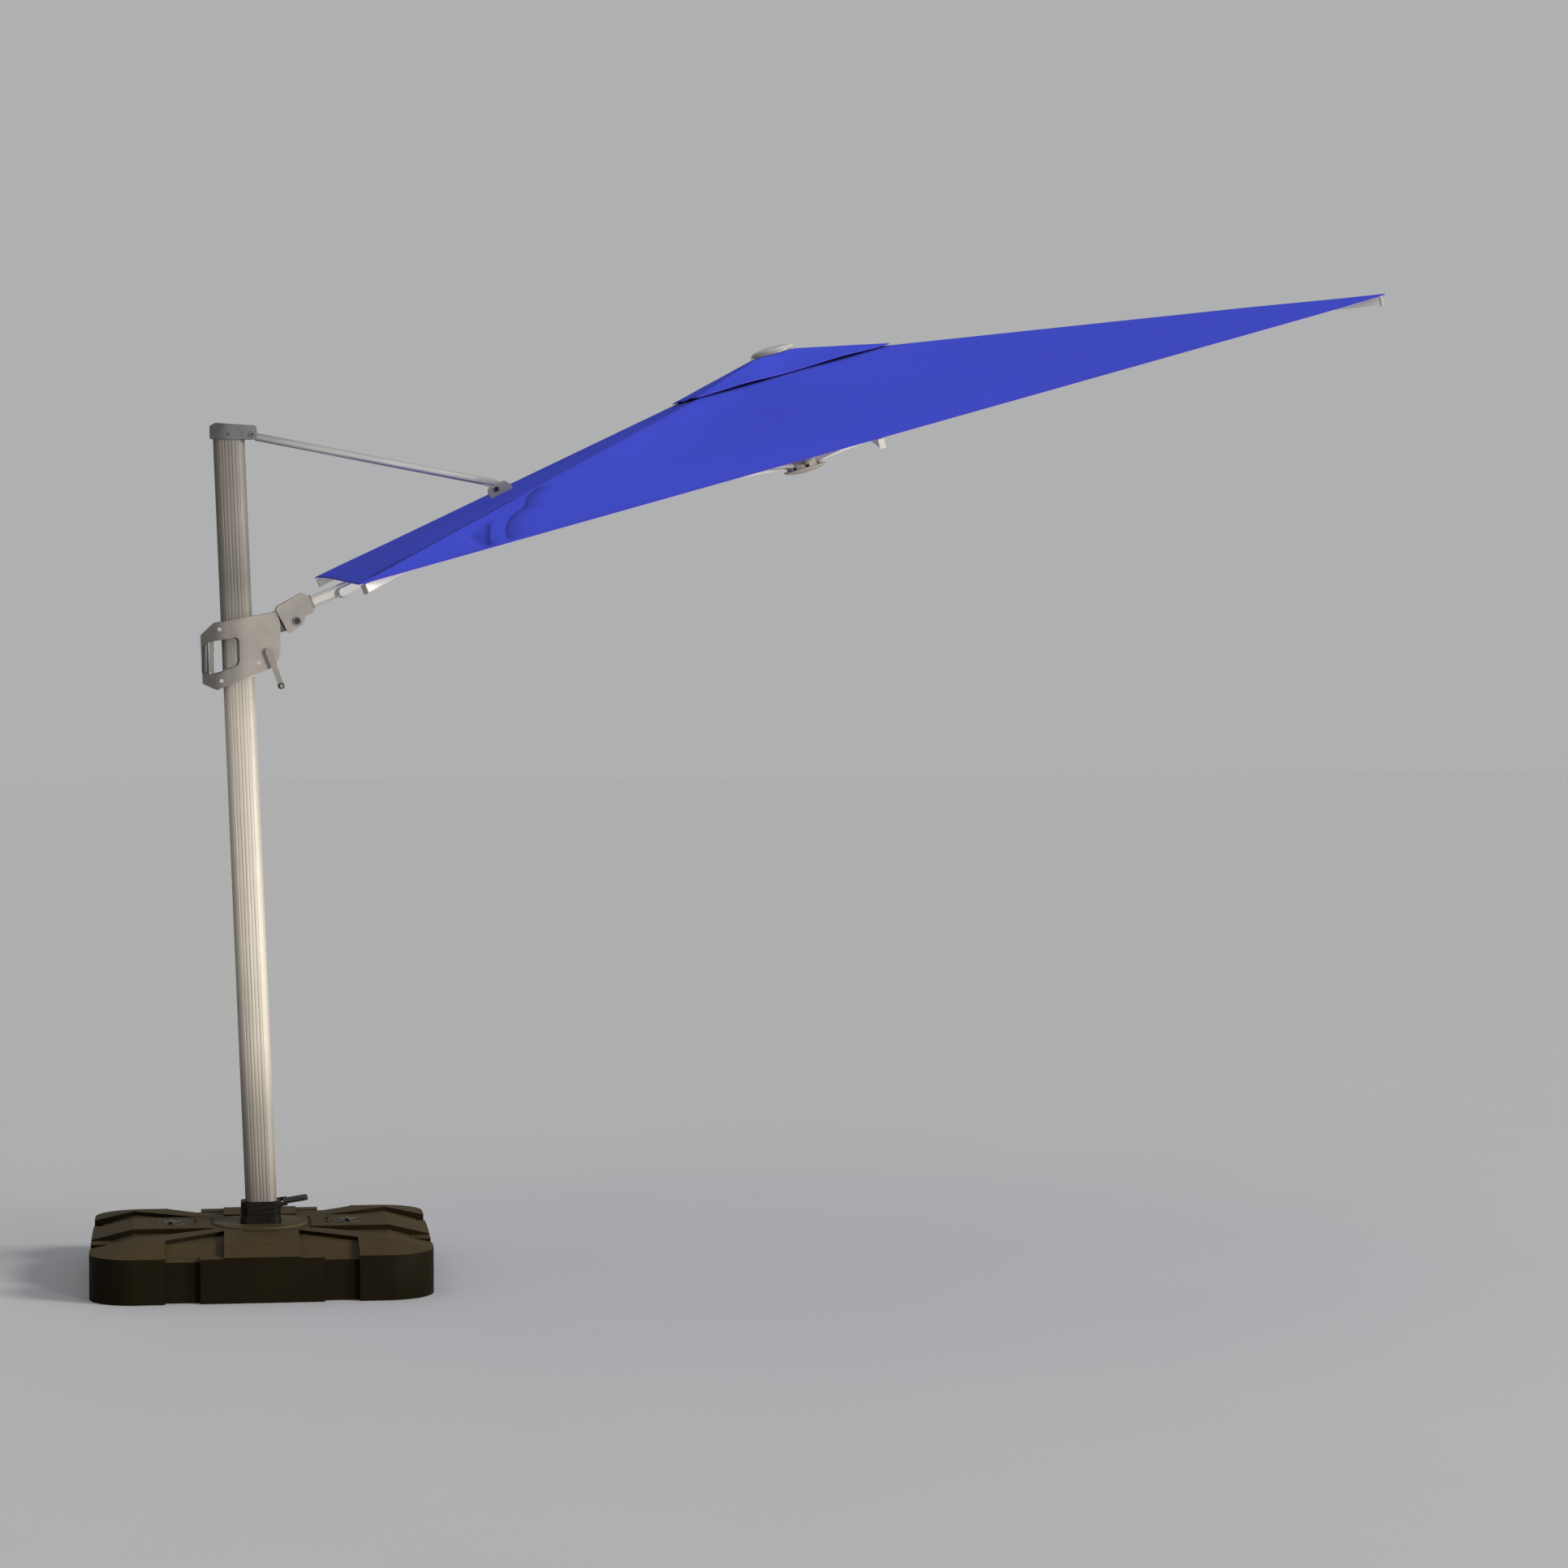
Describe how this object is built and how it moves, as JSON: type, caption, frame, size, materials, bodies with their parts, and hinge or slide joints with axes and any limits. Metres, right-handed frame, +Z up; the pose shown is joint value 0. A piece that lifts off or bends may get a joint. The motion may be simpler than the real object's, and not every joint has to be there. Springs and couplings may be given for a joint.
{
  "type": "cantilever parasol",
  "caption": "Square cantilever parasol with a side mast on a water-filled base, sliding hand grip, reaching arm, stay and folding ribs.",
  "frame": {"origin": "middle of the base's underside, on the mast's swivel axis", "axes": "+Z up, +X along the arm from the mast towards the canopy, -Y the side with the crank handle"},
  "size_m": [3.6525, 3.0064, 2.9584],
  "materials": {
    "base_plastic": "matt moulded, dark olive brown",
    "water": "water filling, sealed inside",
    "plate_metal": "satin powder coat",
    "cap_plastic": "matt moulded",
    "mast_aluminium": "champagne anodised, fine brushed",
    "rib_aluminium": "champagne anodised",
    "dark_metal": "satin powder coat, dark grey",
    "pedal_metal": "satin black",
    "slider_plastic": "taupe moulded",
    "trim_plastic": "matt black moulded",
    "steel": "zinc plated",
    "finial_plastic": "satin grey",
    "canopy_fabric": "woven polyester, royal blue"
  },
  "bodies": {
    "base": {"base_tank": "base_plastic", "water_fill": "water", "centre_plate": "plate_metal"},
    "cap_left": {"filler_cap_left": "cap_plastic"},
    "cap_right": {"filler_cap_right": "cap_plastic"},
    "mast": {"mast_tube": "mast_aluminium", "mast_foot": "dark_metal", "mast_cap": "dark_metal", "mast_cap_bolts": "steel"},
    "pedal": {"foot_pedal": "pedal_metal"},
    "slider": {"slider_plate_far": "slider_plastic", "slider_plate_near": "slider_plastic", "slider_screws": "steel", "slider_carriage": "slider_plastic", "glide_pads": "trim_plastic", "slider_spine": "slider_plastic", "grip_bar": "trim_plastic", "arm_pivot_bolt": "steel"},
    "lever": {"release_lever": "trim_plastic"},
    "crank_handle": {"crank": "trim_plastic"},
    "knob": {"crank_knob": "trim_plastic"},
    "arm": {"arm_head": "slider_plastic", "arm_tube": "mast_aluminium", "arm_clip_ring": "slider_plastic", "stay_bracket": "mast_aluminium", "stay_bracket_bolt": "steel", "top_hub": "trim_plastic", "rib_pins": "steel", "hub_post": "mast_aluminium", "post_clamp": "trim_plastic", "finial_cap": "finial_plastic", "canopy_cover": "canopy_fabric", "vent_flap": "canopy_fabric"},
    "stay": {"stay_tube": "mast_aluminium", "stay_end_fittings": "trim_plastic"},
    "runner": {"lower_hub": "trim_plastic"},
    "rib_outer": {"rib_outer": "rib_aluminium", "rib_outer_tip": "trim_plastic"},
    "strut_outer": {"strut_outer": "rib_aluminium"},
    "rib_far_outer": {"rib_far_outer": "rib_aluminium", "rib_far_outer_tip": "trim_plastic"},
    "strut_far_outer": {"strut_far_outer": "rib_aluminium"},
    "rib_far": {"rib_far": "rib_aluminium", "rib_far_tip": "trim_plastic"},
    "strut_far": {"strut_far": "rib_aluminium"},
    "rib_far_mast": {"rib_far_mast": "rib_aluminium", "rib_far_mast_tip": "trim_plastic"},
    "strut_far_mast": {"strut_far_mast": "rib_aluminium"},
    "rib_mast": {"rib_mast": "rib_aluminium", "rib_mast_tip": "trim_plastic"},
    "strut_mast": {"strut_mast": "rib_aluminium"},
    "rib_near_mast": {"rib_near_mast": "rib_aluminium", "rib_near_mast_tip": "trim_plastic"},
    "strut_near_mast": {"strut_near_mast": "rib_aluminium"},
    "rib_near": {"rib_near": "rib_aluminium", "rib_near_tip": "trim_plastic"},
    "strut_near": {"strut_near": "rib_aluminium"},
    "rib_near_outer": {"rib_near_outer": "rib_aluminium", "rib_near_outer_tip": "trim_plastic"},
    "strut_near_outer": {"strut_near_outer": "rib_aluminium"}
  },
  "joints": [
    {"name": "filler_cap_left_turn", "type": "hinge", "parent": "base", "child": "cap_left", "pos_m": [-0.26996, 0.00471, 0.16], "axis": [0, 0, 1], "range_deg": [0, 120]},
    {"name": "filler_cap_right_turn", "type": "hinge", "parent": "base", "child": "cap_right", "pos_m": [0.26996, -0.00471, 0.16], "axis": [0, 0, 1], "range_deg": [0, 120]},
    {"name": "mast_swivel", "type": "hinge", "parent": "base", "child": "mast", "pos_m": [0, 0, 0.18], "axis": [0, 0, 1], "continuous": true},
    {"name": "pedal_press", "type": "hinge", "parent": "mast", "child": "pedal", "pos_m": [-0.036, 0, 0.212], "axis": [0, 1, 0], "range_deg": [0, 8], "stiffness_Nm_per_rad": 8, "springref_deg": -14.32},
    {"name": "slider_travel", "type": "slide", "parent": "mast", "child": "slider", "axis": [0.0359, 0, -0.9994], "range_m": [0, 0.6]},
    {"name": "release_squeeze", "type": "hinge", "parent": "slider", "child": "lever", "pos_m": [-0.138, 0, 1.964], "axis": [0, 1, 0], "range_deg": [0, 3.5], "stiffness_Nm_per_rad": 2, "springref_deg": -11.46},
    {"name": "crank_turn", "type": "hinge", "parent": "slider", "child": "crank_handle", "pos_m": [0.0333, -0.05, 1.9264], "axis": [0, -1, 0], "range_deg": [0, 2900]},
    {"name": "knob_spin", "type": "hinge", "parent": "crank_handle", "child": "knob", "pos_m": [0.0708, -0.078, 1.821], "axis": [0, -1, 0], "continuous": true},
    {"name": "arm_pivot", "type": "hinge", "parent": "slider", "child": "arm", "pos_m": [0.1201, 0, 2.0184], "axis": [0, -1, 0], "range_deg": [0, 25]},
    {"name": "stay_pivot", "type": "hinge", "parent": "mast", "child": "stay", "pos_m": [-0.0139, 0, 2.5867], "axis": [0, 1, 0], "range_deg": [0, 32.7]},
    {"name": "runner_travel", "type": "slide", "parent": "arm", "child": "runner", "axis": [0.2716, 0, -0.9624], "range_m": [0, 1.5592]},
    {"name": "rib_outer_fold", "type": "hinge", "parent": "arm", "child": "rib_outer", "pos_m": [1.66089, 0, 2.82213], "axis": [0, 1, 0], "range_deg": [0, 58.05]},
    {"name": "strut_outer_fold", "type": "hinge", "parent": "rib_outer", "child": "strut_outer", "pos_m": [2.65959, 0, 2.87764], "axis": [0, 1, 0], "range_deg": [-122.8, 0]},
    {"name": "rib_far_outer_fold", "type": "hinge", "parent": "arm", "child": "rib_far_outer", "pos_m": [1.64466, 0.03889, 2.82035], "axis": [-0.6805, 0.7071, -0.1921], "range_deg": [0, 61.48]},
    {"name": "strut_far_outer_fold", "type": "hinge", "parent": "rib_far_outer", "child": "strut_far_outer", "pos_m": [2.35321, 0.72985, 2.85366], "axis": [-0.6805, 0.7071, -0.1921], "range_deg": [-123.3, 0]},
    {"name": "rib_far_fold", "type": "hinge", "parent": "arm", "child": "rib_far", "pos_m": [1.60796, 0.055, 2.80719], "axis": [-0.9624, 0, -0.2716], "range_deg": [0, 58.05]},
    {"name": "strut_far_fold", "type": "hinge", "parent": "rib_far", "child": "strut_far", "pos_m": [1.66714, 1.03123, 2.59752], "axis": [-0.9624, 0, -0.2716], "range_deg": [-122.8, 0]},
    {"name": "rib_far_mast_fold", "type": "hinge", "parent": "arm", "child": "rib_far_mast", "pos_m": [1.5698, 0.03889, 2.79922], "axis": [-0.6805, -0.7071, -0.1921], "range_deg": [0, 61.48]},
    {"name": "strut_far_mast_fold", "type": "hinge", "parent": "rib_far_mast", "child": "strut_far_mast", "pos_m": [0.9484, 0.72985, 2.45714], "axis": [-0.6805, -0.7071, -0.1921], "range_deg": [-123.3, 0]},
    {"name": "rib_mast_fold", "type": "hinge", "parent": "arm", "child": "rib_mast", "pos_m": [1.55503, 0, 2.79225], "axis": [0, -1, 0], "range_deg": [0, 58.05]},
    {"name": "strut_mast_fold", "type": "hinge", "parent": "rib_mast", "child": "strut_mast", "pos_m": [0.67469, 0, 2.31739], "axis": [0, -1, 0], "range_deg": [-122.8, 0]},
    {"name": "rib_near_mast_fold", "type": "hinge", "parent": "arm", "child": "rib_near_mast", "pos_m": [1.5698, -0.03889, 2.79922], "axis": [0.6805, -0.7071, 0.1921], "range_deg": [0, 61.48]},
    {"name": "strut_near_mast_fold", "type": "hinge", "parent": "rib_near_mast", "child": "strut_near_mast", "pos_m": [0.9484, -0.72985, 2.45714], "axis": [0.6805, -0.7071, 0.1921], "range_deg": [-123.3, 0]},
    {"name": "rib_near_fold", "type": "hinge", "parent": "arm", "child": "rib_near", "pos_m": [1.60796, -0.055, 2.80719], "axis": [0.9624, 0, 0.2716], "range_deg": [0, 58.05]},
    {"name": "strut_near_fold", "type": "hinge", "parent": "rib_near", "child": "strut_near", "pos_m": [1.66714, -1.03123, 2.59752], "axis": [0.9624, 0, 0.2716], "range_deg": [-122.8, 0]},
    {"name": "canopy_fold", "type": "hinge", "parent": "arm", "child": "rib_near_outer", "pos_m": [1.64466, -0.03889, 2.82035], "axis": [0.6805, 0.7071, 0.1921], "range_deg": [0, 61.43], "deforming": ["canopy_cover", "vent_flap"]},
    {"name": "strut_near_outer_fold", "type": "hinge", "parent": "rib_near_outer", "child": "strut_near_outer", "pos_m": [2.35321, -0.72985, 2.85366], "axis": [0.6805, 0.7071, 0.1921], "range_deg": [-123.3, 0]}
  ],
  "couplings": [
    {"joint": "arm_pivot", "follows": "slider_travel", "rad_per_m": 0.72697},
    {"joint": "stay_pivot", "follows": "slider_travel", "rad_per_m": 0.95015},
    {"joint": "rib_outer_fold", "follows": "canopy_fold", "ratio": 0.9442},
    {"joint": "strut_outer_fold", "follows": "canopy_fold", "ratio": -1.9947},
    {"joint": "rib_far_outer_fold", "follows": "canopy_fold", "ratio": 1},
    {"joint": "strut_far_outer_fold", "follows": "canopy_fold", "ratio": -2.0034},
    {"joint": "rib_far_fold", "follows": "canopy_fold", "ratio": 0.9442},
    {"joint": "strut_far_fold", "follows": "canopy_fold", "ratio": -1.9947},
    {"joint": "rib_far_mast_fold", "follows": "canopy_fold", "ratio": 1},
    {"joint": "strut_far_mast_fold", "follows": "canopy_fold", "ratio": -2.0034},
    {"joint": "rib_mast_fold", "follows": "canopy_fold", "ratio": 0.9442},
    {"joint": "strut_mast_fold", "follows": "canopy_fold", "ratio": -1.9947},
    {"joint": "rib_near_mast_fold", "follows": "canopy_fold", "ratio": 1},
    {"joint": "strut_near_mast_fold", "follows": "canopy_fold", "ratio": -2.0034},
    {"joint": "rib_near_fold", "follows": "canopy_fold", "ratio": 0.9442},
    {"joint": "strut_near_fold", "follows": "canopy_fold", "ratio": -1.9947},
    {"joint": "strut_near_outer_fold", "follows": "canopy_fold", "ratio": -2.0034},
    {"joint": "runner_travel", "follows": "canopy_fold", "m_per_rad": 1.4533},
    {"joint": "crank_turn", "follows": "canopy_fold", "ratio": 46.8}
  ]
}
